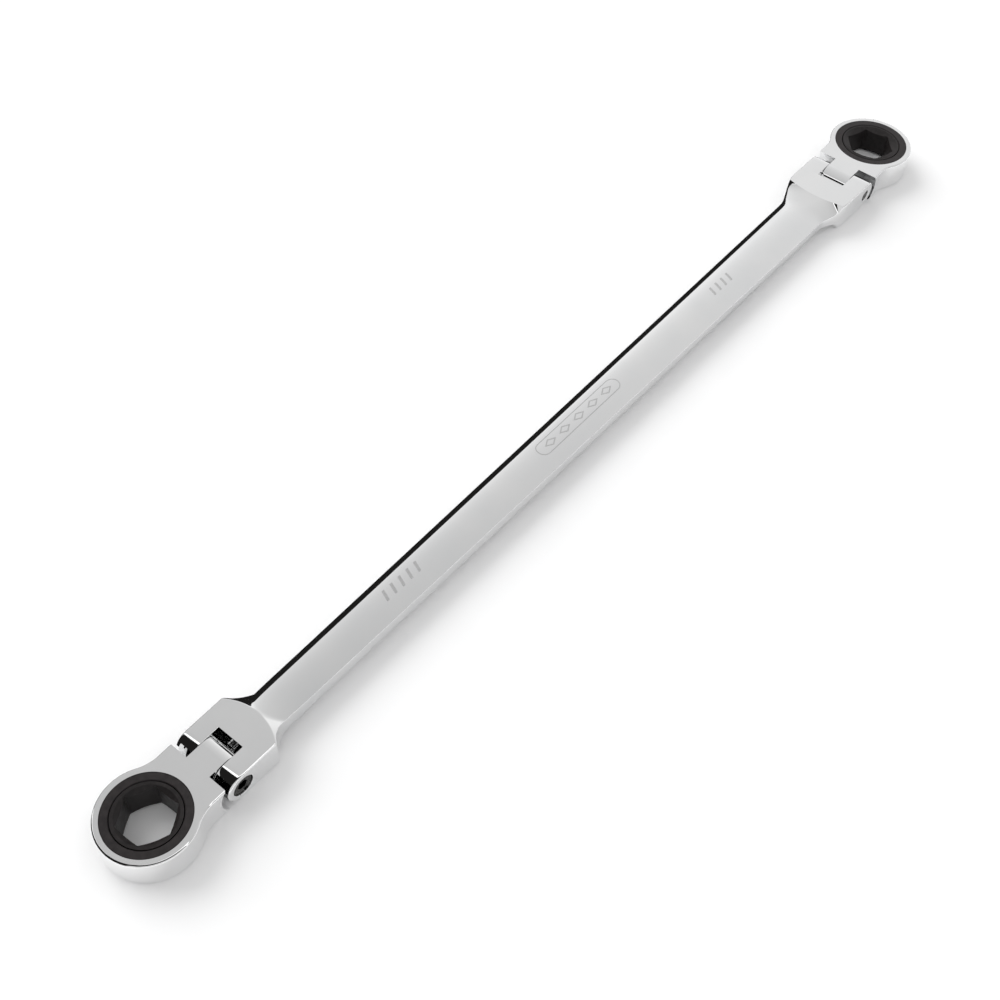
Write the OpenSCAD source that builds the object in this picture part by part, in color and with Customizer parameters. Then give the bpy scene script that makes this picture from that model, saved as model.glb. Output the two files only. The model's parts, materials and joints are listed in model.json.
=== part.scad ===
// Long double box-end ratcheting wrench with two flexing heads.
// The handle is one forging with a fork at each end. Each head pivots on a
// screw through its fork and holds a ratchet gear, a pawl, a spring and rings.
// End "a" is the smaller head, at -X. End "b" is the larger head, at +X.
// Origin: centre of the footprint, on the surface the wrench lies on.

/* [Overall] */
// Distance between the two pivot screws
pin_spacing = 324.5; // [260:0.5:420]
// Thickness of the heads and of the fork blocks
thick = 10.5; // [9.5:0.1:12]
// Rounding of the long forged edges
edge_r = 0.6; // [0.3:0.1:0.8]

/* [Sockets] */
// Size across flats of the smaller hex socket (9/16 inch)
flats_a = 14.29; // [13:0.01:14.6]
// Size across flats of the larger hex socket (5/8 inch)
flats_b = 15.875; // [15:0.005:16.4]
// Rest angle of the smaller hex
hex_turn_a = 2.7; // [0:0.1:60]
// Rest angle of the larger hex
hex_turn_b = 10.5; // [0:0.1:60]

/* [Heads] */
// Outer radius of the smaller head
head_r_a = 13.95; // [13.5:0.05:15]
// Outer radius of the larger head
head_r_b = 15.8; // [15.4:0.05:17]
// Distance from the pivot to the gear centre, smaller head
arm_a = 22.85; // [22:0.05:26]
// Distance from the pivot to the gear centre, larger head
arm_b = 23.85; // [23.5:0.05:27]
// Radius of the fillets between head and neck
neck_fillet_r = 12; // [10:0.5:14]

/* [Ratchet] */
// Number of gear teeth
teeth = 72; // [60:12:84]
// Depth of the gear teeth
tooth_depth = 0.55; // [0.45:0.05:0.6]
// How far the pawl backs away from the gear
pawl_travel = 0.75; // [0.7:0.05:0.8]

/* [Handle] */
// Half width of the smaller fork
fork_w_a = 10.5; // [10:0.1:11.5]
// Half width of the larger fork
fork_w_b = 12.4; // [12:0.1:13.5]
// Half width of the shank at the smaller end
shank_w_a = 6.3; // [6:0.1:7.5]
// Half width of the shank at the larger end
shank_w_b = 8.4; // [8:0.1:9.5]
// Half thickness of the oval shank
shank_h = 4; // [3.6:0.1:4.4]
// Half thickness of the shank at its sides
shank_side_h = 2.3; // [1.5:0.1:2.8]
// Length of the flat pad behind the smaller end's pivot
pad_len_a = 15.95; // [15:0.05:18]
// Length of the flat pad behind the larger end's pivot
pad_len_b = 19.3; // [18:0.05:22]
// Radius of the flares between fork and shank, smaller end
flare_r_a = 10; // [8:1:14]
// Radius of the flares between fork and shank, larger end
flare_r_b = 30; // [24:1:40]

/* [Pivots] */
// Radius of the pivot screw's shank
screw_r = 2.3; // [2:0.05:2.4]
// Radius of the pivot screw's head
screw_head_r = 3.2; // [3:0.05:3.3]
// Size across flats of the hex recess in the screw
key_flats = 3; // [2.5:0.5:3]

/* [Hidden] */
$fn = 96;

eps = 0.01;
mid = thick / 2;

// Ends of the wrench and places of the pivots and gear centres along X
overall = pin_spacing + arm_a + head_r_a + arm_b + head_r_b;
pin_x_a = -overall / 2 + head_r_a + arm_a;
pin_x_b = overall / 2 - head_r_b - arm_b;

// Socket, rings and gear of one head, from its size across flats
function hex_corner_r(flats) = flats / 2 / cos(30);
function bore_r(head_r) = head_r - 2.6;
function tooth_tip_r(head_r) = bore_r(head_r) - 0.15;
function cover_r(head_r) = head_r - 1.98;
function cover_hole_r(head_r) = cover_r(head_r) * 0.806;
function hub_r(head_r) = cover_hole_r(head_r) - 0.28;

// Fork and tongue. The shoulders of a head are hollowed about its pivot, and
// reach far enough back for the head to turn a quarter turn either way.
slot_gap = 0.14;
slot_back_a = 6.15;
slot_back_b = 7.6;
swing_gap = 0.18;
shoulder_r = norm([mid, mid + swing_gap]);
function slot_w(fork_w) = fork_w * 0.427;

// End of each pad: radius of the arc it ends in, radius of the cove below the
// arc, and how far the cove's centre lies above the pad
pad_arc_r_a = 17;
pad_arc_r_b = 40;
cove_r_a = 4.2;
cove_r_b = 6;
cove_rise_a = 0;
cove_rise_b = 1.5;
flare_lead = 4.2;
shank_lap_a = 14;
shank_lap_b = 16;

// Levels inside a head, measured up from its lower face
lip_top = 1.4;
band_bottom = 1.5;
band_top = 7.6;
groove_bottom = 7.7;
groove_top = 8.6;
groove_depth = 0.65;
cover_seat = 9.2;
hub_drop = 0.12;
running_gap = 0.06;
fit_gap = 0.03;

// Wide end of each socket's lead-in chamfer, as a share of the hub's radius
lead_in_a = 0.9;
lead_in_b = 0.955;
lead_depth = 1.1;

// Pawl and its pocket in the neck, with the tooth roots at the pawl's front
pawl_half_w = 4;
pawl_bottom = 2.1;
pawl_top = 7;
pawl_mid = (pawl_bottom + pawl_top) / 2;
pawl_depth = 3;
pocket_gap = 0.12;
mesh_gap = 0.05;
pawl_spring_r = 1.35;
pawl_spring_hole_r = 1.5;
pawl_spring_seat = 1.5;
pawl_spring_run = 3.4;
wire_wall = 0.35;
function pawl_front(head_r) = tooth_tip_r(head_r) - tooth_depth;
function pocket_back(head_r) = pawl_front(head_r) + pawl_depth + pawl_travel + 2 * pocket_gap;

// Tension plunger and spring behind the tongue
plunger_r = 1.9;
plunger_hole_r = 1.96;
plunger_len = 5;
tension_spring_len = 7;
tension_spring_r = 1.8;
tension_wire = 0.5;

// Pivot screw
screw_head_len = 2.3;
screw_head_sink = 0.5;
screw_head_gap = 0.2;
screw_tip_r = 2.05;
screw_tip_sink = 0.9;
key_depth = 1.5;

chrome = [0.78, 0.79, 0.8];
black_oxide = [0.12, 0.11, 0.12];
spring_steel = [0.55, 0.56, 0.58];
seal_rubber = [0.05, 0.05, 0.05];
screw_steel = [0.2, 0.2, 0.21];

// ---- Placing: each end is drawn with its pivot at the origin and the shank
// ---- towards +X. The larger end is turned round to face the other way.
module at_end_a() {
    translate([pin_x_a, 0, 0]) children();
}

module at_end_b() {
    translate([pin_x_b, 0, 0]) rotate([0, 0, 180]) children();
}

// ---- Shapes that repeat
// Outline of a bar across X: half width w, height h, with rounded corners
module rounded_bar_outline(w, h, r) {
    translate([-w + r, 0]) square([2 * (w - r), h]);
    translate([-w, r]) square([2 * w, h - 2 * r]);
    for (side = [-1, 1], level = [r, h - r]) translate([side * (w - r), level]) circle(r = r);
}

// Bar along +X with rounded long edges
module rounded_bar(length, w, h, r) {
    rotate([90, 0, 90]) linear_extrude(length) rounded_bar_outline(w, h, r);
}

// Upright disc with rounded rims
module rounded_disc(radius, h, r) {
    rotate_extrude() {
        square([radius - r, h]);
        translate([0, r]) square([radius, h - 2 * r]);
        for (level = [r, h - r]) translate([radius - r, level]) circle(r = r);
    }
}

// Cutter that leaves a concave upright fillet with rounded edges
module cove_cutter(radius, h, r) {
    rotate_extrude() {
        translate([0, -1]) square([radius, h + 2]);
        for (level = [0, h]) difference() {
            translate([radius - eps, level == 0 ? -1 : h - r]) square([r + eps, r + 1]);
            translate([radius + r, level == 0 ? r : h - r]) circle(r = r);
        }
    }
}

module tube(r_out, r_in, length) {
    difference() {
        cylinder(r = r_out, h = length);
        translate([0, 0, -1]) cylinder(r = r_in, h = length + 2);
    }
}

// Hex outline with small relief arcs in its corners
module hex_outline(flats, turn) {
    relief_r = flats * 0.07;
    relief_reach = hex_corner_r(flats) - relief_r * 1.1;
    rotate(turn) {
        rotate(30) circle(r = hex_corner_r(flats), $fn = 6);
        for (i = [0:5]) rotate(30 + 60 * i) translate([relief_reach, 0]) circle(r = relief_r);
    }
}

// Outline of the toothed band. The first tooth space faces the pawl. Each
// tooth has four corners, given as shares of the pitch: two at the root and
// two at the tip.
module tooth_outline(tip_r) {
    pitch = 360 / teeth;
    corners = [[0.08, tooth_depth], [0.44, 0], [0.56, 0], [0.92, tooth_depth]];
    polygon([
        for (i = [0:teeth - 1], corner = corners)
            let (angle = (i + corner[0]) * pitch)
            (tip_r - corner[1]) * [cos(angle), sin(angle)]
    ]);
}

// ---- One head: a ring, a neck and a tongue. Drawn with the gear centre at
// ---- the origin and the pivot at [arm, 0].
module head_blank(head_r, arm, fork_w) {
    neck_w = fork_w - 0.05;
    fillet_x = sqrt(pow(head_r + neck_fillet_r, 2) - pow(neck_w + neck_fillet_r, 2));
    tangent_y = (neck_w + neck_fillet_r) * head_r / (head_r + neck_fillet_r);
    web_x = head_r * 0.4;
    // The fillets bite a little into ring and neck, so that no faces only touch
    bite = 0.03;
    tongue_w = slot_w(fork_w) - slot_gap;
    hollow_len = fork_w + 1 - tongue_w;
    rounded_disc(head_r, thick, edge_r);
    difference() {
        union() {
            translate([fillet_x - eps, 0, 0])
                rounded_bar(arm - fillet_x, neck_w, thick, edge_r);
            translate([web_x, -tangent_y, 0]) cube([fillet_x - web_x, 2 * tangent_y, thick]);
        }
        for (side = [-1, 1]) {
            translate([fillet_x, side * (neck_w + neck_fillet_r), 0])
                cove_cutter(neck_fillet_r + bite, thick, edge_r);
            // Hollow of this side's shoulder, which the fork's round tip turns in
            translate([arm, side * (tongue_w + hollow_len / 2), mid]) rotate([90, 0, 0])
                cylinder(r = shoulder_r, h = hollow_len, center = true);
        }
    }
    translate([arm, tongue_w, mid]) rotate([90, 0, 0]) cylinder(r = mid, h = 2 * tongue_w);
    translate([arm - shoulder_r - 1, -tongue_w, 0]) cube([shoulder_r + 1, 2 * tongue_w, thick]);
}

module head(head_r, arm, fork_w) {
    pocket_w = pawl_half_w + pocket_gap;
    pocket_bottom = pawl_bottom - pocket_gap;
    pocket_top = pawl_top + pocket_gap;
    color(chrome) difference() {
        head_blank(head_r, arm, fork_w);
        translate([0, 0, -1]) cylinder(r = hub_r(head_r) + running_gap, h = thick);
        translate([0, 0, lip_top]) cylinder(r = bore_r(head_r), h = thick);
        translate([0, 0, groove_bottom])
            cylinder(r = bore_r(head_r) + groove_depth, h = groove_top - groove_bottom);
        translate([0, 0, cover_seat]) cylinder(r = cover_r(head_r) + fit_gap, h = thick);
        // Pocket for the pawl, cut from the gear bore, and the bore for its spring
        translate([0, -pocket_w, pocket_bottom])
            cube([pocket_back(head_r), 2 * pocket_w, pocket_top - pocket_bottom]);
        translate([pocket_back(head_r) - eps, 0, pawl_mid]) rotate([0, 90, 0])
            cylinder(r = pawl_spring_hole_r, h = pawl_spring_run + eps);
        // Bore for the pivot screw
        translate([arm, fork_w, mid]) rotate([90, 0, 0]) cylinder(r = screw_r + running_gap, h = 2 * fork_w);
    }
}

module gear(head_r, flats, turn, lead_in) {
    hub_bottom = hub_drop;
    hub_top = thick - hub_drop;
    color(black_oxide) difference() {
        union() {
            translate([0, 0, hub_bottom]) cylinder(r = hub_r(head_r), h = hub_top - hub_bottom);
            translate([0, 0, band_bottom]) linear_extrude(band_top - band_bottom)
                tooth_outline(tooth_tip_r(head_r));
        }
        translate([0, 0, -1]) linear_extrude(thick + 2) hex_outline(flats, turn);
        // Lead-in chamfers of the hex socket
        wide_r = lead_in * hub_r(head_r);
        narrow_r = flats / 2;
        translate([0, 0, hub_top - lead_depth])
            cylinder(r1 = narrow_r, r2 = wide_r, h = lead_depth + eps);
        translate([0, 0, hub_bottom - eps])
            cylinder(r1 = wide_r, r2 = narrow_r, h = lead_depth + eps);
    }
}

// The pawl's face is cut by the gear's own outline, grown by the mesh gap
module pawl(head_r) {
    front = pawl_front(head_r);
    h = pawl_top - pawl_bottom;
    color(spring_steel) difference() {
        translate([front, -pawl_half_w, pawl_bottom]) cube([pawl_depth, 2 * pawl_half_w, h]);
        translate([-mesh_gap, 0, pawl_bottom - 1]) linear_extrude(h + 2)
            tooth_outline(tooth_tip_r(head_r) + 2 * mesh_gap);
        translate([front + pawl_depth - pawl_spring_seat, 0, pawl_mid]) rotate([0, 90, 0])
            cylinder(r = pawl_spring_hole_r, h = pawl_spring_seat + 1);
    }
}

module pawl_spring(head_r) {
    start = pawl_front(head_r) + pawl_depth - pawl_spring_seat;
    length = pocket_back(head_r) + pawl_spring_run - start;
    color(spring_steel) translate([start, 0, pawl_mid]) rotate([0, 90, 0])
        tube(pawl_spring_r, pawl_spring_r - wire_wall, length);
}

module cover_ring(head_r) {
    bevel = 0.2;
    r_out = cover_r(head_r);
    r_in = cover_hole_r(head_r);
    h = thick - cover_seat;
    color(black_oxide) translate([0, 0, cover_seat]) rotate_extrude() polygon([
        [r_in, 0], [r_out, 0],
        [r_out, h - bevel], [r_out - bevel, h],
        [r_in + bevel, h], [r_in, h - bevel]
    ]);
}

// Open ring in the groove above the gear's teeth
module snap_ring(head_r) {
    opening = 40;
    side_gap = 0.05;
    r_out = bore_r(head_r) + groove_depth - side_gap;
    r_in = hub_r(head_r) + 0.7;
    ring_h = groove_top - groove_bottom - 2 * side_gap;
    color(spring_steel) translate([0, 0, groove_bottom + side_gap]) rotate(180 + opening / 2)
        rotate_extrude(angle = 360 - opening)
            translate([r_in, 0]) square([r_out - r_in, ring_h]);
}

// Rubber ring round the gear's hub, below the cover ring
module dust_seal(head_r) {
    cord_r = 0.28;
    color(seal_rubber) translate([0, 0, (groove_top + cover_seat) / 2]) rotate_extrude()
        translate([hub_r(head_r) + cord_r + running_gap, 0]) circle(r = cord_r, $fn = 32);
}

// ---- Fork block and flare at one end of the handle, with the pivot at the
// ---- origin and the shank towards +X.
module fork_block(fork_w, pad_len, pad_arc_r, shank_w, flare_r, cove_r, cove_rise) {
    flare_len = sqrt(pow(flare_r, 2) - pow(flare_r - fork_w + shank_w, 2));
    block_len = pad_len - flare_lead + flare_len;
    cove_x = sqrt(pow(cove_r, 2) - pow(cove_rise, 2));
    intersection() {
        translate([-mid, 0, 0]) rounded_bar(mid + block_len, fork_w, thick, edge_r);
        linear_extrude(thick) difference() {
            translate([-mid, -fork_w]) square([mid + block_len, 2 * fork_w]);
            for (side = [-1, 1]) translate([block_len, side * (shank_w + flare_r)]) circle(r = flare_r);
        }
        // Flat pad that ends in an arc, with a cove below its edge
        translate([pad_len - pad_arc_r, 0, 0]) rotate_extrude() difference() {
            square([pad_arc_r + cove_x, thick]);
            for (level = [-cove_rise, thick + cove_rise])
                translate([pad_arc_r + cove_x, level]) circle(r = cove_r);
        }
        // Round tips of the fork, concentric with the pivot
        union() {
            translate([0, -fork_w, 0]) cube([block_len, 2 * fork_w, thick]);
            translate([0, fork_w, mid]) rotate([90, 0, 0]) cylinder(r = mid, h = 2 * fork_w);
        }
    }
}

// Slot for the tongue, holes for the pivot screw, and the bore of the
// tension plunger, all at one fork
module fork_cuts(fork_w, slot_back) {
    half_slot = slot_w(fork_w);
    bore_end = mid + plunger_len + tension_spring_len;
    head_seat = fork_w - screw_head_sink - screw_head_len;
    translate([-thick, -half_slot, -1]) cube([thick + slot_back, 2 * half_slot, thick + 2]);
    translate([0, 0, mid]) rotate([90, 0, 0]) {
        translate([0, 0, head_seat]) cylinder(r = screw_head_r + screw_head_gap, h = fork_w);
        cylinder(r = screw_r + fit_gap, h = fork_w);
        translate([0, 0, -fork_w - 1]) cylinder(r = screw_tip_r + fit_gap, h = fork_w + 1);
    }
    translate([slot_back - 1, 0, mid]) rotate([0, 90, 0])
        cylinder(r = plunger_hole_r, h = bore_end - slot_back + 1);
}

// Oval shank that widens from one end to the other. Its crown and its
// underside are parts of two cones, cut off at the sides.
module shank() {
    x_a = pin_x_a + shank_lap_a;
    x_b = pin_x_b - shank_lap_b;
    length = x_b - x_a;
    r_a = crown_r(shank_w_a);
    r_b = crown_r(shank_w_b);
    intersection() {
        crown_cone(x_a, length, r_a, r_b);
        translate([0, 0, thick]) mirror([0, 0, 1]) crown_cone(x_a, length, r_a, r_b);
        linear_extrude(thick) polygon([
            [x_a, -shank_w_a], [x_b, -shank_w_b],
            [x_b, shank_w_b], [x_a, shank_w_a]]);
    }
}

// Radius of the crown of a shank of half width w
function crown_r(w) = (pow(w, 2) + pow(shank_h - shank_side_h, 2)) / 2 / (shank_h - shank_side_h);

// Cone along X whose top line is level at the crown of the shank
module crown_cone(x_a, length, r_a, r_b) {
    extra = 10;
    slope = (r_b - r_a) / length;
    translate([x_a, 0, mid + shank_h]) rotate([0, 90 + atan(slope), 0]) translate([r_a, 0, -extra])
        cylinder(r1 = r_a - extra * slope, r2 = r_b + extra * slope, h = length + 2 * extra);
}

module handle() {
    color(chrome) difference() {
        union() {
            shank();
            at_end_a() fork_block(
                fork_w_a, pad_len_a, pad_arc_r_a, shank_w_a, flare_r_a, cove_r_a, cove_rise_a);
            at_end_b() fork_block(
                fork_w_b, pad_len_b, pad_arc_r_b, shank_w_b, flare_r_b, cove_r_b, cove_rise_b);
        }
        at_end_a() fork_cuts(fork_w_a, slot_back_a);
        at_end_b() fork_cuts(fork_w_b, slot_back_b);
    }
}

// Pivot screw: head on the local -Y side, plain shank through the tongue, tip
// in the far ear
module pivot_screw(fork_w) {
    half_slot = slot_w(fork_w);
    head_top = fork_w - screw_head_sink;
    head_seat = head_top - screw_head_len;
    tip_end = fork_w - screw_tip_sink;
    color(screw_steel) translate([0, 0, mid]) rotate([90, 0, 0]) difference() {
        union() {
            translate([0, 0, head_seat]) cylinder(r = screw_head_r, h = screw_head_len);
            translate([0, 0, -half_slot]) cylinder(r = screw_r, h = half_slot + head_seat);
            translate([0, 0, -tip_end]) cylinder(r = screw_tip_r, h = tip_end);
        }
        translate([0, 0, head_top - key_depth])
            cylinder(r = hex_corner_r(key_flats), h = key_depth + 1, $fn = 6);
    }
}

module tension_plunger() {
    contact_gap = 0.02;
    color(spring_steel) translate([mid + contact_gap, 0, mid]) rotate([0, 90, 0])
        cylinder(r = plunger_r, h = plunger_len - contact_gap);
}

module tension_spring() {
    color(spring_steel) translate([mid + plunger_len, 0, mid]) rotate([0, 90, 0])
        tube(tension_spring_r, tension_spring_r - tension_wire, tension_spring_len);
}

// Head pieces are drawn about the gear centre, then moved so that the pivot
// is at the origin of the end
module in_head(arm) {
    translate([-arm, 0, 0]) children();
}

handle();

at_end_a() in_head(arm_a) head(head_r_a, arm_a, fork_w_a);  // head_a
at_end_a() in_head(arm_a) gear(head_r_a, flats_a, hex_turn_a, lead_in_a);  // gear_a
at_end_a() in_head(arm_a) pawl(head_r_a);  // pawl_a
at_end_a() in_head(arm_a) pawl_spring(head_r_a);  // pawl_spring_a
at_end_a() in_head(arm_a) cover_ring(head_r_a);  // cover_ring_a
at_end_a() in_head(arm_a) snap_ring(head_r_a);  // snap_ring_a
at_end_a() in_head(arm_a) dust_seal(head_r_a);  // dust_seal_a
at_end_a() pivot_screw(fork_w_a);  // pivot_screw_a
at_end_a() tension_plunger();  // tension_plunger_a
at_end_a() tension_spring();  // tension_spring_a

at_end_b() in_head(arm_b) head(head_r_b, arm_b, fork_w_b);  // head_b
at_end_b() in_head(arm_b) gear(head_r_b, flats_b, hex_turn_b, lead_in_b);  // gear_b
at_end_b() in_head(arm_b) pawl(head_r_b);  // pawl_b
at_end_b() in_head(arm_b) pawl_spring(head_r_b);  // pawl_spring_b
at_end_b() in_head(arm_b) cover_ring(head_r_b);  // cover_ring_b
at_end_b() in_head(arm_b) snap_ring(head_r_b);  // snap_ring_b
at_end_b() in_head(arm_b) dust_seal(head_r_b);  // dust_seal_b
at_end_b() pivot_screw(fork_w_b);  // pivot_screw_b
at_end_b() tension_plunger();  // tension_plunger_b
at_end_b() tension_spring();  // tension_spring_b
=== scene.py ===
import bpy
import json
import math
from collections import namedtuple
from mathutils import Matrix, Vector


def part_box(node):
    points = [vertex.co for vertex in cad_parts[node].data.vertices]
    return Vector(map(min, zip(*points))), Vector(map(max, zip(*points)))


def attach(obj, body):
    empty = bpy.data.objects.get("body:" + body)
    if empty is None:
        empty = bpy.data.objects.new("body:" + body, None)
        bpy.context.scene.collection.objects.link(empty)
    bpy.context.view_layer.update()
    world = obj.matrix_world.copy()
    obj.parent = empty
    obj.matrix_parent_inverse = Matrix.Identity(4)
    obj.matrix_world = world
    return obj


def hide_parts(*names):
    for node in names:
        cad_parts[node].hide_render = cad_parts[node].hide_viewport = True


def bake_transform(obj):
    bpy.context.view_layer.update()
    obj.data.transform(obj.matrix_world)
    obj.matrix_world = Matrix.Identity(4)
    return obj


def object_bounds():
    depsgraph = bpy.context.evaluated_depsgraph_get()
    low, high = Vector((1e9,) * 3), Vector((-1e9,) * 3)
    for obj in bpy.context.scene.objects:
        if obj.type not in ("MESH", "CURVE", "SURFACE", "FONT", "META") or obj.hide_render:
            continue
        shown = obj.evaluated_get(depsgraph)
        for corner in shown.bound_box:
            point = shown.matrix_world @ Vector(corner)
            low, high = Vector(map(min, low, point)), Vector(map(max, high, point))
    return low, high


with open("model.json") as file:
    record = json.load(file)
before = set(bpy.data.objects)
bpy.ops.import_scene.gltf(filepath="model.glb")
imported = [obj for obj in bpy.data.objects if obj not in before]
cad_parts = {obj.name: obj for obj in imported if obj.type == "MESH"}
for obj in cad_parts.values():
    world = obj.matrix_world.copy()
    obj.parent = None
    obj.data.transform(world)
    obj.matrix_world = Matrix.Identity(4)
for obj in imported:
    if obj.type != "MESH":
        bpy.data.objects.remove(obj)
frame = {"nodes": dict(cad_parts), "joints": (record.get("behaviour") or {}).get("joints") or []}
cad_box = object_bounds()

# The object's lengths are in millimetres, and become metres where a mesh is made.
# The camera, the floor, the cards and the lights are in metres.
MM = 0.001
MID = cad_box[1].z / MM / 2    # height of the wrench's mid plane
HEAD_SHARP_ANGLE = math.radians(12)
PIECE_SHARP_ANGLE = math.radians(30)
JOINTS = {joint["name"]: joint for joint in frame["joints"]}


def joint_x(name):
    return JOINTS[name]["pos_m"][0] / MM


def evenly(start, stop, count):
    """start, stop, and values between them, count equal steps in all."""
    return [start + (stop - start) * i / count for i in range(count + 1)]


def on_circle(radius, angle):
    return radius * math.cos(angle), radius * math.sin(angle)


# ---------------------------------------------------------------- materials
PRINCIPLED = "ShaderNodeBsdfPrincipled"
EMISSION = "ShaderNodeEmission"
NOISE_LOW, NOISE_HIGH = 0.3, 0.7    # a noise texture mostly stays between these
RELIEF_SCALE = 400.0


def new_material(name, shader_type):
    """A material with one shader. Returns the material, its nodes, its links and the shader."""
    material = bpy.data.materials.new(name)
    material.use_nodes = True
    nodes, links = material.node_tree.nodes, material.node_tree.links
    nodes.clear()
    shader = nodes.new(shader_type)
    output = nodes.new("ShaderNodeOutputMaterial")
    links.new(shader.outputs[0], output.inputs["Surface"])
    return material, nodes, links, shader


def noise(nodes, links, scale, detail):
    place = nodes.new("ShaderNodeTexCoord")
    texture = nodes.new("ShaderNodeTexNoise")
    texture.inputs["Scale"].default_value = scale
    texture.inputs["Detail"].default_value = detail
    links.new(place.outputs["Object"], texture.inputs["Vector"])
    return texture.outputs["Fac"]


def spread(nodes, links, value, low, high):
    """Turns noise into numbers from low to high."""
    change = nodes.new("ShaderNodeMapRange")
    change.inputs["From Min"].default_value = NOISE_LOW
    change.inputs["From Max"].default_value = NOISE_HIGH
    change.inputs["To Min"].default_value = low
    change.inputs["To Max"].default_value = high
    links.new(value, change.inputs["Value"])
    return change.outputs["Result"]


def mixed_colour(nodes, links, value, low, high):
    """Turns noise into colours from low to high."""
    ramp = nodes.new("ShaderNodeValToRGB")
    first, last = ramp.color_ramp.elements
    first.color, first.position = (*low, 1), NOISE_LOW
    last.color, last.position = (*high, 1), NOISE_HIGH
    links.new(value, ramp.inputs["Fac"])
    return ramp.outputs["Color"]


def bump(nodes, links, height, shader, depth_mm):
    relief = nodes.new("ShaderNodeBump")
    relief.inputs["Distance"].default_value = depth_mm * MM
    relief.inputs["Strength"].default_value = 1.0
    links.new(height, relief.inputs["Height"])
    links.new(relief.outputs["Normal"], shader.inputs["Normal"])


def metal(name, low, high, rough, scale, relief_mm=0.0):
    """A metal whose colour and roughness drift a little over its surface."""
    material, nodes, links, shader = new_material(name, PRINCIPLED)
    shader.inputs["Metallic"].default_value = 1.0
    drift = noise(nodes, links, scale, 4.0)
    links.new(mixed_colour(nodes, links, drift, low, high), shader.inputs["Base Color"])
    links.new(spread(nodes, links, drift, *rough), shader.inputs["Roughness"])
    if relief_mm:
        bump(nodes, links, noise(nodes, links, RELIEF_SCALE, 2.0), shader, relief_mm)
    return material


def black_oxide(name, low, high, rough, scale):
    """Blackened steel: dark and satin, with a fine mottled grain."""
    material, nodes, links, shader = new_material(name, PRINCIPLED)
    shader.inputs["Metallic"].default_value = 0.1
    shader.inputs["Specular IOR Level"].default_value = 0.2
    mottle = noise(nodes, links, scale, 5.0)
    links.new(mixed_colour(nodes, links, mottle, low, high), shader.inputs["Base Color"])
    links.new(spread(nodes, links, mottle, *rough), shader.inputs["Roughness"])
    bump(nodes, links, noise(nodes, links, scale * 4, 3.0), shader, 0.01)
    return material


def rubber():
    material, nodes, links, shader = new_material("seal_rubber", PRINCIPLED)
    grain = noise(nodes, links, 1800.0, 3.0)
    links.new(mixed_colour(nodes, links, grain, (0.012, 0.012, 0.012), (0.03, 0.03, 0.03)),
              shader.inputs["Base Color"])
    shader.inputs["Roughness"].default_value = 0.6
    bump(nodes, links, grain, shader, 0.02)
    return material


CHROME = metal("chrome", (0.86, 0.865, 0.87), (0.9, 0.9, 0.9), (0.035, 0.055), 60.0)
ETCHED = metal("etched_chrome", (0.6, 0.6, 0.6), (0.68, 0.68, 0.68), (0.3, 0.4), 900.0, 0.002)
MATERIALS = {
    "chrome_forging": CHROME,
    "chrome_head": CHROME,
    "black_oxide_gear": black_oxide(
        "gear_black", (0.012, 0.0105, 0.0105), (0.022, 0.019, 0.019), (0.34, 0.46), 700.0),
    "black_oxide_ring": black_oxide(
        "ring_black", (0.018, 0.0155, 0.016), (0.03, 0.026, 0.026), (0.36, 0.48), 600.0),
    "pawl_steel": metal(
        "pawl_steel", (0.36, 0.34, 0.32), (0.5, 0.48, 0.46), (0.25, 0.4), 500.0, 0.01),
    "spring_wire": metal(
        "spring_wire", (0.5, 0.5, 0.52), (0.66, 0.66, 0.67), (0.16, 0.28), 900.0, 0.004),
    "spring_steel_ring": metal(
        "snap_ring_steel", (0.2, 0.2, 0.22), (0.32, 0.31, 0.32), (0.28, 0.42), 700.0, 0.006),
    "seal_rubber": rubber(),
    # The pivot screw's metal is real, but its near-black colour is painted shade, standing in for the
    # shade in the recess round the screw.
    "screw_steel": metal(
        "screw_steel", (0.02, 0.019, 0.018), (0.05, 0.047, 0.045), (0.2, 0.32), 800.0, 0.006),
    "plunger_steel": metal(
        "plunger_steel", (0.55, 0.55, 0.56), (0.7, 0.7, 0.7), (0.12, 0.2), 600.0, 0.004),
}


def dress(thing, material):
    thing.data.materials.clear()
    thing.data.materials.append(material)


def dress_nodes():
    """Dresses each end's CAD nodes, and the handle, by the slots listed below."""
    slots = {
        "head": "chrome_head", "gear": "black_oxide_gear", "cover_ring": "black_oxide_ring",
        "pawl": "pawl_steel", "snap_ring": "spring_steel_ring", "dust_seal": "seal_rubber",
        "pivot_screw": "screw_steel", "tension_plunger": "plunger_steel",
        "pawl_spring": "spring_wire", "tension_spring": "spring_wire",
    }
    for part, slot in slots.items():
        for end in "ab":
            dress(frame["nodes"][f"{part}_{end}"], MATERIALS[slot])
    dress(frame["nodes"]["handle"], MATERIALS["chrome_forging"])


def crisp_edges():
    """Keeps the heads' flats from shading into the round faces beside them."""
    for end in "ab":
        split = frame["nodes"][f"head_{end}"].modifiers.new("crisp", "EDGE_SPLIT")
        split.split_angle = HEAD_SHARP_ANGLE
        split.use_edge_sharp = False


# ---------------------------------------------------------------- mesh helpers


class Shell:
    """Points in millimetres and faces, which grow as grids are added."""

    def __init__(self):
        self.points = []
        self.faces = []

    def grid(self, rows, closed=False, flip=False):
        """Rows of points of equal length; closed joins each row's last point to its first."""
        start, width = len(self.points), len(rows[0])
        for row in rows:
            self.points.extend(row)
        for i in range(len(rows) - 1):
            for j in range(width if closed else width - 1):
                a = start + i * width + j
                b = start + i * width + (j + 1) % width
                quad = (a, b, b + width, a + width)
                self.faces.append(quad[::-1] if flip else quad)

    def cap(self, first, count, flip=False):
        """A face over the row of count points that starts at point number first."""
        face = tuple(range(first, first + count))
        self.faces.append(face[::-1] if flip else face)


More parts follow.
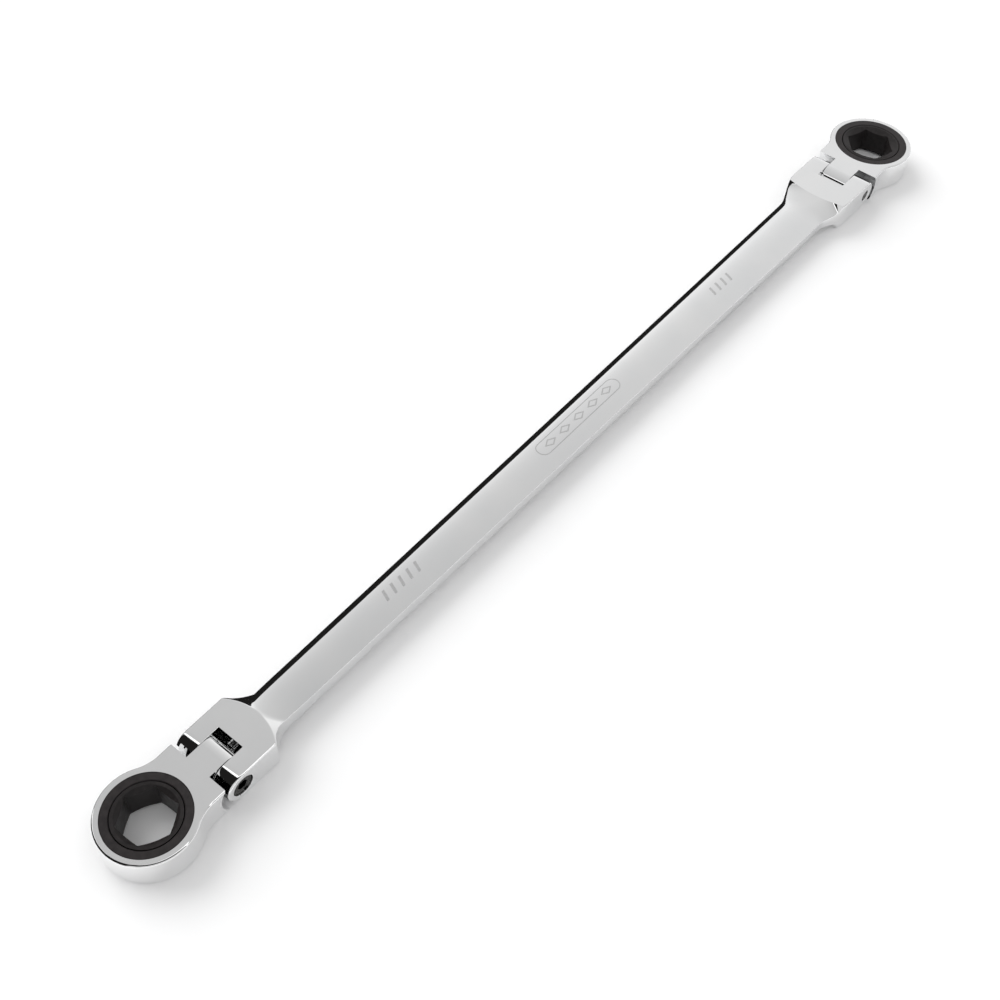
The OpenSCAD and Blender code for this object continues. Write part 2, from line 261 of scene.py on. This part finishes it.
def add_object(name, data):
    thing = bpy.data.objects.new(name, data)
    bpy.context.scene.collection.objects.link(thing)
    return thing


def make_piece(name, shell, body, slot, material=None, bend=None):
    """A smooth piece in slot's material, or in its own. It rides on body, or, when bend
    is given, it stays where it is made and rides on no body."""
    mesh = bpy.data.meshes.new(name)
    mesh.from_pydata([(x * MM, y * MM, z * MM) for x, y, z in shell.points], [], shell.faces)
    mesh.validate()
    mesh.polygons.foreach_set("use_smooth", [True] * len(mesh.polygons))
    mesh.set_sharp_from_angle(angle=PIECE_SHARP_ANGLE)
    thing = add_object(name, mesh)
    dress(thing, material or MATERIALS[slot])
    if bend:
        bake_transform(thing)
    else:
        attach(thing, body)
    return thing


def smooth_max(a, b, reach):
    """The larger of a and b, with a round crossing about as wide as reach."""
    near = max(reach - abs(a - b), 0.0) / reach
    return max(a, b) + near * near * reach / 4


def smooth_min(a, b, reach):
    return -smooth_max(-a, -b, reach)


def ease(value, start, end):
    """0 before start, 1 after end, smooth between them."""
    t = min(max((value - start) / (end - start), 0.0), 1.0)
    return t * t * (3 - 2 * t)


# ---------------------------------------------------------------- the handle's shape
# One end of the handle is drawn with its pivot at x = 0, its mid plane at z = 0 and
# the shank towards +x. An End holds:
#   pin          x of the pivot in the row frame
#   side         +1 at end a; -1 at end b, which is turned half round
#   fork_w       half width of the fork
#   slot_w       half width of the slot between the ears
#   slot_back    x of the slot's rear face
#   pad_len      x where the flat pad ends, on the centreline
#   arc_r        radius of the arc that the pad ends in
#   flare_end    x where the shank starts to flare
#   flare_r      radius of the flare's curve
#   flare_slope  slope of the flare beyond that curve
#   cone         True where a conical step leads down from the pad, False for a ramp
End = namedtuple(
    "End", "pin side fork_w slot_w slot_back pad_len arc_r flare_end flare_r flare_slope cone")
END_A = End(
    pin=joint_x("head_a_flex"), side=1, fork_w=10.5, slot_w=4.4835, slot_back=6.15,
    pad_len=15.95, arc_r=17.0, flare_end=20.5, flare_r=9.0, flare_slope=1.8, cone=True)
END_B = End(
    pin=joint_x("head_b_flex"), side=-1, fork_w=12.4, slot_w=5.2948, slot_back=7.6,
    pad_len=19.3, arc_r=40.0, flare_end=28.5, flare_r=11.0, flare_slope=0.36, cone=False)

SHANK_W = 7.5            # half width of the shank at the middle of the wrench
SHANK_TAPER = 0.0085     # how much the half width grows with each millimetre of x
CROWN_H = 4.0            # half thickness of the shank on its centreline
CROWN_TILT = math.radians(32)      # how far the crown leans at its edges
SHOULDER_TILT = math.radians(44)   # slope of the flares, outside the crown
FLARE_H = 1.3            # least half thickness of end a's flares
FLARE_MEETS_FORK = 0.9   # how softly the flares run into the fork's sides
SIDE_BULGE = 0.08        # how far the shank's sides stand out at mid height
SHANK_EDGE_R = 0.22
FORK_EDGE_R = 0.6
SLOT_EDGE_R = 0.15

# End a's conical step, and the crown's rise towards it
CONE_TILT = math.radians(32)
CONE_EASE = 0.008        # share of the cone's slope lost with each millimetre of y
CONE_LAP = 0.6           # how far the cone's slope runs on above the pad
CONE_MEETS_CROWN = 0.35
CONE_MEETS_PAD = 0.1
CROWN_RISE = 1.25
RISE_RUN = 4.5           # how soon the rise dies away

# End b's ramp
RAMP_LEN = 12.0
ROLL_RUN = 1.1           # how soon the edges roll off behind the pad


def placed(end, points):
    """Moves points from an end's own frame to the row frame."""
    return [(end.pin + end.side * x, end.side * y, MID + z) for x, y, z in points]


def shank_half_width(x):
    return SHANK_W + SHANK_TAPER * x


def half_width(end, x):
    """Half width of the handle at x behind this end's pivot."""
    shank = shank_half_width(end.pin + end.side * x)
    inward = max(end.flare_end - x, 0.0)
    curved = min(inward, end.flare_r * math.sin(math.atan(end.flare_slope)))
    rise = end.flare_r - math.sqrt(end.flare_r ** 2 - curved ** 2)
    flare = rise + end.flare_slope * (inward - curved)
    return smooth_min(end.fork_w, shank + flare, FLARE_MEETS_FORK)


def past_pad(end, x, y):
    """How far the point lies past the arc that the pad ends in."""
    return math.hypot(x - end.pad_len + end.arc_r, y) - end.arc_r


def crown_sag(shank_w, y):
    """How far the crown lies below its top line at y, on a shank of half width shank_w."""
    edge = shank_w - SHANK_EDGE_R
    radius = edge / math.sin(CROWN_TILT)
    inside = min(abs(y), edge)
    beyond = abs(y) - inside
    return radius - math.sqrt(radius * radius - inside * inside) + beyond * math.tan(SHOULDER_TILT)


def stepped_height(end, x, y):
    """Half thickness where a conical slope leads from the pad down to the crown."""
    past = past_pad(end, x, y)
    shank_w = shank_half_width(end.pin + end.side * x)
    cone = MID - max(past, -CONE_LAP) * math.tan(CONE_TILT) * (1 - CONE_EASE * abs(y))
    top = CROWN_H + CROWN_RISE * math.exp(-max(past, 0.0) / RISE_RUN)
    crown = max(top - crown_sag(shank_w, y), FLARE_H)
    return smooth_min(MID, smooth_max(cone, crown, CONE_MEETS_CROWN), CONE_MEETS_PAD)


def ramped_height(end, x, y):
    """Half thickness where a soft ramp leads down, its edges rolling off as the shank's do."""
    past = past_pad(end, x, y)
    if past <= 0:
        return MID
    shank_w = shank_half_width(end.pin + end.side * x)
    left = max(1 - past / RAMP_LEN, 0.0)
    top = CROWN_H + (MID - CROWN_H) * left * left
    inward = max(abs(y) - (half_width(end, x) - shank_w), 0.0)
    return top - (1 - math.exp(-past / ROLL_RUN)) * crown_sag(shank_w, inward)


def half_height(end, x, y):
    return stepped_height(end, x, y) if end.cone else ramped_height(end, x, y)


# ---------------------------------------------------------------- the handle's skin
# Each of these gives where a change starts and ends, in millimetres past the pad's arc.
ROWS_STRAIGHTEN = (6, 26)
EDGES_SHARPEN = (-1.0, 3.0)
SIDES_SWELL = (0.0, 6.0)

TOP_STEPS, EDGE_STEPS, SIDE_STEPS = 26, 7, 4    # faces across a quarter of the outline
TOP_CROWDING = 0.8       # below 1, points crowd towards the top's edge
WIDTH_ROUNDS = 30        # rounds that settle where a row meets the plan outline
LEAN_ROUNDS = 3          # rounds that settle how far the edge's arc turns
LEAN_GAP = 0.05
MOST_LEAN = math.radians(60)
LEAST_SIDE = 0.5


def row_line(end, past):
    """x as a function of y, for the row that lies past the pad's arc by past.

    Rows near the pad follow its arc, and straighten towards the slot and towards
    the shank."""
    pad_run = end.pad_len - end.slot_back
    follow = 1 - ease(past, *ROWS_STRAIGHTEN) if past > 0 else ease(past + pad_run, 0, pad_run)
    radius = end.arc_r + max(past, 0.0)
    return lambda y: end.pad_len + past + (math.sqrt(radius * radius - y * y) - radius) * follow


def section(end, past):
    """The upper +y quarter of the handle's outline, as x, y and half height."""
    row_x = row_line(end, past)
    edge_r = FORK_EDGE_R + (SHANK_EDGE_R - FORK_EDGE_R) * ease(past, *EDGES_SHARPEN)
    bulge = SIDE_BULGE * ease(past, *SIDES_SWELL)
    wide = end.fork_w
    for _ in range(WIDTH_ROUNDS):
        wide = 0.5 * (wide + half_width(end, row_x(wide)))
    lean = side_lean = 0.0
    for _ in range(LEAN_ROUNDS):
        edge_y = wide - bulge - edge_r * math.cos(side_lean) + edge_r * math.sin(lean)
        edge_x = row_x(edge_y)
        edge_h = half_height(end, edge_x, edge_y)
        fall = half_height(end, edge_x, edge_y - LEAN_GAP) - edge_h
        lean = min(max(math.atan2(fall, LEAN_GAP), 0.0), MOST_LEAN)
        centre_h = edge_h - edge_r * math.cos(lean)
        side_lean = 2 * math.atan2(bulge, max(centre_h, LEAST_SIDE))
    centre_y = wide - bulge - edge_r * math.cos(side_lean)

    points = []
    for angle in evenly(0, math.pi / 2, TOP_STEPS):
        y = edge_y * math.sin(angle) ** TOP_CROWDING
        points.append((row_x(y), y, half_height(end, row_x(y), y)))
    for angle in evenly(lean, math.pi / 2 - side_lean, EDGE_STEPS)[1:]:
        y = centre_y + edge_r * math.sin(angle)
        points.append((row_x(y), y, centre_h + edge_r * math.cos(angle)))
    side_y, side_h = points[-1][1:]
    for share in evenly(1, 0, SIDE_STEPS)[1:]:
        y = wide - (wide - side_y) * share * share
        points.append((row_x(y), y, side_h * share))
    return points


def whole_section(end, past):
    """A closed row of points all round the handle, in the same order at both ends."""
    quarter = section(end, past)
    upper = [(x, -y, h) for x, y, h in quarter[:0:-1]] + quarter
    upper = upper[::end.side]
    lower = [(x, y, -h) for x, y, h in upper[-2:0:-1]]
    return placed(end, upper + lower)


def stations(end, last):
    """Distances past the pad's arc, close together where the shape changes fast."""
    fine_steps = evenly(-0.7, 0.7, 14) + evenly(0.9, 5.9, 25)
    places = evenly(end.slot_back - end.pad_len, -0.8, 10) + fine_steps
    step, growth, most = 0.25, 1.12, 6.0
    while places[-1] + step < last:
        places.append(places[-1] + step)
        step = min(step * growth, most)
    return places + [last]


# ---------------------------------------------------------------- the handle's forks
FACET_START, FACET_END = 0.2, 1.05    # the facet before an ear's round tip, forward of the pivot
SCREW_HOLE_R = 2.33
SCREW_TIP_HOLE_R = 2.08
SINK_R, SINK = 3.4, 2.8  # radius and depth of the recess round the pivot screw's head
HOLE_EDGE = 0.1
PLUNGER_BORE_R = 1.96
PLUNGER_BORE_LEN = 12.0  # measured from the tongue's round end
PLUNGER_BORE_EDGE = 0.15
BORE_FLOOR_R = 0.01      # radius of the small face in the middle of the bore's floor

EAR_TOP_STEPS, EAR_FRONT_STEPS, EAR_BACK_STEPS = 6, 36, 8
FORK_EDGE_STEPS, SLOT_EDGE_STEPS = 8, 4
BORE_STEPS = 64


def ear_outline(end, inset):
    """The ear's outline from the side, as x and z, without its back edge.

    The top is flat, then leans a little, then turns about the pivot."""
    r = MID - inset
    lean = math.asin(FACET_END / r)
    front = [on_circle(r, angle)
             for angle in evenly(math.pi / 2 + lean, 3 * math.pi / 2 - lean, EAR_FRONT_STEPS)]
    top = [(x, r) for x in evenly(end.slot_back, -FACET_START, EAR_TOP_STEPS)]
    return top + front + [(x, -z) for x, z in top[::-1]]


def closed_ear_outline(end, inset):
    r = MID - inset
    return ear_outline(end, inset) + [(end.slot_back, z) for z in evenly(-r, r, EAR_BACK_STEPS)[1:-1]]


def rolled_edge(radius, steps):
    """A quarter turn, as how far it has gone sideways and how far it has dropped."""
    return [(radius * math.sin(angle), radius * (1 - math.cos(angle)))
            for angle in evenly(0, math.pi / 2, steps)]


def circle_like(outline, radius):
    """Points on a circle, in the same directions from the pivot as the outline's."""
    return [on_circle(radius, math.atan2(z, x)) for x, z in outline]


def add_ear(shell, end, side, hole_r, sink_r=None):
    """One ear of the fork, on the side of the slot that side gives as 1 or -1. Its hole
    starts with a recess of radius sink_r, if that is given."""
    def slices(levels):
        return [placed(end, [(x, side * y, z) for x, z in outline]) for y, outline in levels]

    rim = [(end.fork_w - FORK_EDGE_R + out, ear_outline(end, drop))
           for out, drop in rolled_edge(FORK_EDGE_R, FORK_EDGE_STEPS)]
    slot_rim = [(end.slot_w + SLOT_EDGE_R - out, ear_outline(end, drop))
                for out, drop in rolled_edge(SLOT_EDGE_R, SLOT_EDGE_STEPS)]
    shell.grid(slices(rim[::-1] + slot_rim), flip=side < 0)

    # The two side faces, with the screw's hole between them
    outside = closed_ear_outline(end, FORK_EDGE_R)
    inside = closed_ear_outline(end, SLOT_EDGE_R)
    mouth_r = sink_r or hole_r
    rings = [
        (end.fork_w, outside),
        (end.fork_w, circle_like(outside, mouth_r + HOLE_EDGE)),
        (end.fork_w - HOLE_EDGE, circle_like(outside, mouth_r)),
    ]
    if sink_r:
        sunk = end.fork_w - SINK
        rings += [(sunk, circle_like(outside, sink_r)), (sunk, circle_like(outside, hole_r))]
    rings += [(end.slot_w, circle_like(inside, hole_r)), (end.slot_w, inside)]
    shell.grid(slices(rings), closed=True, flip=side > 0)


def add_slot_back(shell, end):
    """Rear face of the slot, with the bore that the tension plunger slides in."""
    half_w = end.slot_w + SLOT_EDGE_R
    corner = math.atan2(MID, half_w)
    corners = [corner, math.pi - corner, math.pi + corner, 2 * math.pi - corner]
    angles = sorted([2 * math.pi * i / BORE_STEPS for i in range(BORE_STEPS)] + corners)

    def to_slot_edge(angle):
        along, up = abs(math.cos(angle)), abs(math.sin(angle))
        return min(half_w / max(along, 1e-9), MID / max(up, 1e-9))

    def ring(x, radii):
        return placed(end, [(x, *on_circle(r, angle)) for r, angle in zip(radii, angles)])

    def circle(x, radius):
        return ring(x, [radius] * len(angles))

    bore_end = MID + PLUNGER_BORE_LEN
    shell.grid([
        ring(end.slot_back, [to_slot_edge(angle) for angle in angles]),
        circle(end.slot_back, PLUNGER_BORE_R + PLUNGER_BORE_EDGE),
        circle(end.slot_back + PLUNGER_BORE_EDGE, PLUNGER_BORE_R),
        circle(bore_end, PLUNGER_BORE_R),
        circle(bore_end, BORE_FLOOR_R),
    ], closed=True, flip=True)
    shell.cap(len(shell.points) - len(angles), len(angles), flip=True)


def handle():
    shell = Shell()
    middle = (END_A.pin + END_B.pin) / 2
    rows_a = [whole_section(END_A, past)
              for past in stations(END_A, middle - END_A.pin - END_A.pad_len)]
    rows_b = [whole_section(END_B, past)
              for past in stations(END_B, END_B.pin - middle - END_B.pad_len)]
    # The two ends share their last row
    shell.grid(rows_a + rows_b[-2::-1], closed=True, flip=True)
    for end in (END_A, END_B):
        add_ear(shell, end, -1, SCREW_HOLE_R, SINK_R)
        add_ear(shell, end, 1, SCREW_TIP_HOLE_R)
        add_slot_back(shell, end)
    thing = make_piece("forged_handle", shell, "handle", "chrome_forging")
    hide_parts("handle")


# ---------------------------------------------------------------- etched marks
ETCH_RISE = 0.02         # how far the marks stand above the crown
ETCH_ROOT = 0.05         # how far they reach down into it
BORDER_X = -5.0
BORDER_LEN, BORDER_W = 21.0, 2.7    # half length and half width
BORDER_LINE = 0.34
DIAMONDS, DIAMOND_PITCH = 5, 7.4
DIAMOND_OUTER, DIAMOND_INNER = (2.8, 1.5), (1.9, 1.0)    # half length and half width
BAR_W, BAR_H, BAR_SLANT = 0.5, 1.8, 0.7    # half width, half height, half of the slant
BAR_PITCH = 3.4
BAR_GROUPS = ((-97.0, 5), (73.0, 4))    # x of the first bar, and how many bars
FILL_SHARES = (0.01, 0.35, 0.7, 1.0)    # rings that fill a bar from its middle outward
MARK_STEPS = 8           # along each straight side of a bar or a diamond


def crown_z(x, y):
    end = END_A if x < 0 else END_B
    return MID + half_height(end, end.side * (x - end.pin), y)


def along_sides(corners):
    """Points spaced evenly along each side of a closed outline."""
    points = []
    for (x0, y0), (x1, y1) in zip(corners, corners[1:] + corners[:1]):
        side = zip(evenly(x0, x1, MARK_STEPS), evenly(y0, y1, MARK_STEPS))
        points += list(side)[:-1]
    return points


def diamond(x, half_len, half_w):
    return along_sides([(x - half_len, 0), (x, -half_w), (x + half_len, 0), (x, half_w)])


def slanted_bar(x):
    return along_sides([(x - BAR_W - BAR_SLANT, -BAR_H), (x + BAR_W - BAR_SLANT, -BAR_H),
                        (x + BAR_W + BAR_SLANT, BAR_H), (x - BAR_W + BAR_SLANT, BAR_H)])


def border(half_len, half_w):
    """A long outline with round ends."""
    straight, turns = 24, 12
    reach = half_len - half_w
    points = []
    for side in (1, -1):
        for i in range(straight):
            points.append((BORDER_X + side * reach * (1 - 2 * i / straight), side * half_w))
        for i in range(turns):
            x, y = on_circle(half_w, side * math.pi / 2 + math.pi * i / turns)
            points.append((BORDER_X - side * reach + x, y))
    return points


def scaled(outline, share):
    x = sum(point[0] for point in outline) / len(outline)
    y = sum(point[1] for point in outline) / len(outline)
    return [(x + (px - x) * share, y + (py - y) * share) for px, py in outline]


def on_crown(outline, rise):
    return [(x, y, crown_z(x, y) + rise) for x, y in outline]


def add_line(shell, outer, inner):
    """A very thin closed skin between two outlines."""
    shell.grid([on_crown(outer, -ETCH_ROOT), on_crown(outer, ETCH_RISE), on_crown(inner, ETCH_RISE),
                on_crown(inner, -ETCH_ROOT), on_crown(outer, -ETCH_ROOT)], closed=True)


def add_filled(shell, outline):
    """A very thin closed skin that fills an outline."""
    rows = [on_crown(scaled(outline, share), -ETCH_ROOT) for share in FILL_SHARES]
    rows += [on_crown(scaled(outline, share), ETCH_RISE) for share in FILL_SHARES[::-1]]
    first, count = len(shell.points), len(outline)
    shell.grid(rows, closed=True)
    shell.cap(first, count, flip=True)
    shell.cap(len(shell.points) - count, count)


def etched_marks():
    """Plain bars and diamonds on the handle's crown."""
    shell = Shell()
    add_line(shell, border(BORDER_LEN, BORDER_W), border(BORDER_LEN - BORDER_LINE, BORDER_W - BORDER_LINE))
    for i in range(DIAMONDS):
        x = BORDER_X + DIAMOND_PITCH * (i - (DIAMONDS - 1) / 2)
        add_line(shell, diamond(x, *DIAMOND_OUTER), diamond(x, *DIAMOND_INNER))
    for first, count in BAR_GROUPS:
        for i in range(count):
            add_filled(shell, slanted_bar(first + BAR_PITCH * i))
    make_piece("etched_marks", shell, "handle", "chrome_forging", ETCHED)


# ---------------------------------------------------------------- coil springs
CLOSED_TURNS = 1.25      # at each end of a coil
CLOSED_LEAD = 2.05       # pitch of the closed turns, in wire radii
COIL_STEPS = 28          # per turn
WIRE_STEPS = 10


def coil_rows(start, end, mid_z, radius, wire_r, turns):
    """Rings of points round the wire of a coil along x with closed ends."""
    lead = wire_r * CLOSED_LEAD
    total = turns + 2 * CLOSED_TURNS
    run = end - start - 2 * wire_r - 2 * CLOSED_TURNS * lead
    steps = int(total * COIL_STEPS)

    def along(turn):
        live = min(max(turn - CLOSED_TURNS, 0.0), turns)
        return (turn - live) * lead + run * live / turns

    spine = []
    for turn in evenly(0, total, steps):
        y, z = on_circle(radius, 2 * math.pi * turn)
        spine.append(Vector((start + wire_r + along(turn), y, mid_z + z)))
    rows = []
    for i, point in enumerate(spine):
        forward = (spine[min(i + 1, steps)] - spine[max(i - 1, 0)]).normalized()
        across = forward.cross(Vector((0, point.y, point.z - mid_z))).normalized()
        outward = across.cross(forward)
        rows.append([tuple(point + wire_r * (outward * math.cos(angle) + across * math.sin(angle)))
                     for angle in evenly(0, 2 * math.pi, WIRE_STEPS)[:-1]])
    return rows


def coil(node, wire_r, turns, body, bend_to=None):
    """A coil spring in place of a CAD tube. With bend_to, the coil stays where it is made
    and rides on no body."""
    low, high = (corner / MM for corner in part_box(node))
    mid_z = (low.z + high.z) / 2
    rows = coil_rows(low.x, high.x, mid_z, (high.y - low.y) / 2 - wire_r, wire_r, turns)
    shell = Shell()
    shell.grid(rows, closed=True)
    shell.cap(0, WIRE_STEPS, flip=True)
    shell.cap(len(shell.points) - WIRE_STEPS, WIRE_STEPS)
    bend = None
    if bend_to:
        near, far = sorted((low.x, high.x), key=abs)
        bend = (bend_to, (near, 0, mid_z), (far, 0, mid_z))
    thing = make_piece(f"{node}_coil", shell, body, "spring_wire", bend=bend)
    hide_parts(node)


def springs():
    for end in "ab":
        coil(f"tension_spring_{end}", wire_r=0.28, turns=6.0, body="handle")
        coil(f"pawl_spring_{end}", wire_r=0.19, turns=5.5, body=f"head_{end}", bend_to=f"pawl_{end}")


# ---------------------------------------------------------------- camera
# Fitted to the photo's viewing angle.
CAMERA_PLACE = (-0.2514, -0.1522, 0.3278)
CAMERA_YAW, CAMERA_PITCH, CAMERA_ROLL = 36.364, -51.644, 3.684    # degrees
CAMERA_LENS = 48.02      # millimetres


def photo_camera():
    yaw, pitch, roll = (math.radians(angle) for angle in (CAMERA_YAW, CAMERA_PITCH, CAMERA_ROLL))
    forward = Vector((math.cos(pitch) * math.cos(yaw), math.cos(pitch) * math.sin(yaw), math.sin(pitch)))
    level = forward.cross(Vector((0, 0, 1))).normalized()
    upright = level.cross(forward)
    right = level * math.cos(roll) + upright * math.sin(roll)
    up = upright * math.cos(roll) - level * math.sin(roll)
    camera = bpy.data.cameras.new("camera")
    camera.lens = CAMERA_LENS
    camera.sensor_width = 36
    camera.clip_start = 0.01
    thing = add_object("camera", camera)
    turn = Matrix((right, up, -forward)).transposed().to_4x4()
    thing.matrix_world = Matrix.Translation(CAMERA_PLACE) @ turn
    bpy.context.scene.camera = thing


# ---------------------------------------------------------------- stage
FLOOR_REACH = 6.0
BACKDROP_R, BACKDROP_H, BACKDROP_STEPS = 5.8, 6.0, 64
BACKDROP_LEVEL = 0.86


def stage_mesh(name, points, faces, material):
    """A mesh in metres that isn't part of the object."""
    mesh = bpy.data.meshes.new(name)
    mesh.from_pydata(points, [], faces)
    mesh.materials.append(material)
    thing = add_object(name, mesh)
    return thing


def floor():
    """A plain white floor that mirrors nothing."""
    material, nodes, links, shader = new_material("floor_white", PRINCIPLED)
    grain = noise(nodes, links, 30.0, 3.0)
    links.new(mixed_colour(nodes, links, grain, (0.9, 0.9, 0.902), (0.92, 0.92, 0.922)),
              shader.inputs["Base Color"])
    shader.inputs["Roughness"].default_value = 0.5
    shader.inputs["Specular IOR Level"].default_value = 0.0
    corners = [(-1, -1), (1, -1), (1, 1), (-1, 1)]
    stage_mesh("floor", [(x * FLOOR_REACH, y * FLOOR_REACH, 0) for x, y in corners],
               [(0, 1, 2, 3)], material)


def backdrop():
    """A pale wall that stands all round on the floor. The camera sees it, and mirrors don't."""
    count = BACKDROP_STEPS
    ring = [on_circle(BACKDROP_R, 2 * math.pi * i / count) for i in range(count)]
    points = [(x, y, 0) for x, y in ring] + [(x, y, BACKDROP_H) for x, y in ring]
    faces = [(i, (i + 1) % count, count + (i + 1) % count, count + i) for i in range(count)]
    material, _, _, shader = new_material("backdrop_white", EMISSION)
    shader.inputs["Strength"].default_value = BACKDROP_LEVEL
    thing = stage_mesh("backdrop", points, faces, material)
    thing.visible_diffuse = False
    thing.visible_glossy = False
    thing.visible_shadow = False


# ---------------------------------------------------------------- light
# The two suns: where their light goes, how strong it is, and how wide in degrees.
SUNS = {
    "soft_key": ((0.05, -1.6, -1.0), 2.2, 60),
    "soft_fill": ((0.0, 0.0, -1.0), 2.5, 170),
}

# The softbox that the chrome mirrors: a wide level pane above the wrench, brighter
# towards +x, with a bright strip along its left edge.
PANE_HEIGHT = 0.4
PANE_TURN = math.atan(0.264)
PANE_CORNER = (-0.353, 0.742)    # where the pane's left and far edges meet
PANE_LENGTH = 4.5
PANE_DEPTH = 4.0
PANE_LEVEL = 0.461
PANE_GAIN_X = 0.491
PANE_OFFSET_X = 1.3
PANE_LEAST_X = 0.2
PANE_GAIN_Y = 0.123
PANE_MOST = 0.93
STRIP_END = -0.098
STRIP_GAIN = 0.8

# The upright card on the near side
NEAR_FOOT = (-0.75, -1.05, 0.08)
NEAR_ACROSS = (0.8, -0.6, 0)
NEAR_SIZE = 1.3          # its height, and half its width
NEAR_LEVEL = 0.72

STUDIO_COLOUR = (1, 0.96, 0.93, 1)
STUDIO_LEVEL = 0.013


def soft_sun(name, towards, strength, spread_deg):
    """Soft light on the floor and the dull pieces. Mirrors don't show it."""
    light = bpy.data.lights.new(name, "SUN")
    light.energy = strength
    light.angle = math.radians(spread_deg)
    thing = add_object(name, light)
    thing.rotation_mode = "QUATERNION"
    thing.rotation_quaternion = Vector(towards).to_track_quat("-Z", "Y")
    thing.visible_glossy = False


def glow_card(name, corners):
    """A card that only mirrors show. Returns its nodes, its links and its strength socket."""
    material, nodes, links, shader = new_material(f"{name}_light", EMISSION)
    thing = stage_mesh(name, corners, [(0, 1, 2, 3)], material)
    thing.visible_camera = False
    thing.visible_diffuse = False
    thing.visible_shadow = False
    thing.visible_transmission = False
    return nodes, links, shader.inputs["Strength"]


def softbox():
    """The pane described above, with its light worked out from its own x and y."""
    along = Vector((math.cos(PANE_TURN), math.sin(PANE_TURN), 0)) * PANE_LENGTH
    back = Vector((math.sin(PANE_TURN), -math.cos(PANE_TURN), 0)) * PANE_DEPTH
    corner = Vector((*PANE_CORNER, PANE_HEIGHT))
    corners = [corner, corner + along, corner + along + back, corner + back]
    nodes, links, strength = glow_card("softbox", corners)
    place = nodes.new("ShaderNodeSeparateXYZ")
    links.new(nodes.new("ShaderNodeTexCoord").outputs["Object"], place.inputs["Vector"])
    x, y = place.outputs["X"], place.outputs["Y"]

    def step(operation, a, b):
        node = nodes.new("ShaderNodeMath")
        node.operation = operation
        for socket, value in zip(node.inputs, (a, b)):
            if isinstance(value, (int, float)):
                socket.default_value = value
            else:
                links.new(value, socket)
        return node.outputs["Value"]

    far = step("MAXIMUM", step("ADD", x, PANE_OFFSET_X), PANE_LEAST_X)
    level = step("ADD", step("MULTIPLY", step("LOGARITHM", far, math.e), PANE_GAIN_X), PANE_LEVEL)
    level = step("ADD", level, step("MULTIPLY", y, PANE_GAIN_Y))
    level = step("MINIMUM", level, PANE_MOST)
    left = step("ADD", x, step("MULTIPLY", y, math.tan(PANE_TURN)))
    strip = step("MULTIPLY", step("LESS_THAN", left, STRIP_END), STRIP_GAIN)
    links.new(step("ADD", level, strip), strength)


def near_card():
    """An upright card on the near side, for the rounded edges facing it to mirror."""
    across = Vector(NEAR_ACROSS) * NEAR_SIZE
    rise = Vector((0, 0, NEAR_SIZE))
    foot = Vector(NEAR_FOOT)
    corners = [foot - across, foot + across, foot + across + rise, foot - across + rise]
    _, _, strength = glow_card("near_card", corners)
    strength.default_value = NEAR_LEVEL


def dark_studio():
    """The studio's dim walls, beyond the softbox."""
    world = bpy.data.worlds.new("studio")
    world.use_nodes = True
    background = world.node_tree.nodes["Background"]
    background.inputs["Color"].default_value = STUDIO_COLOUR
    background.inputs["Strength"].default_value = STUDIO_LEVEL
    bpy.context.scene.world = world


# ---------------------------------------------------------------- the scene
dress_nodes()
crisp_edges()
handle()
etched_marks()
springs()
floor()
backdrop()
softbox()
near_card()
dark_studio()
for name, (towards, strength, spread_deg) in SUNS.items():
    soft_sun(name, towards, strength, spread_deg)
photo_camera()
bpy.context.scene.view_settings.view_transform = "Standard"
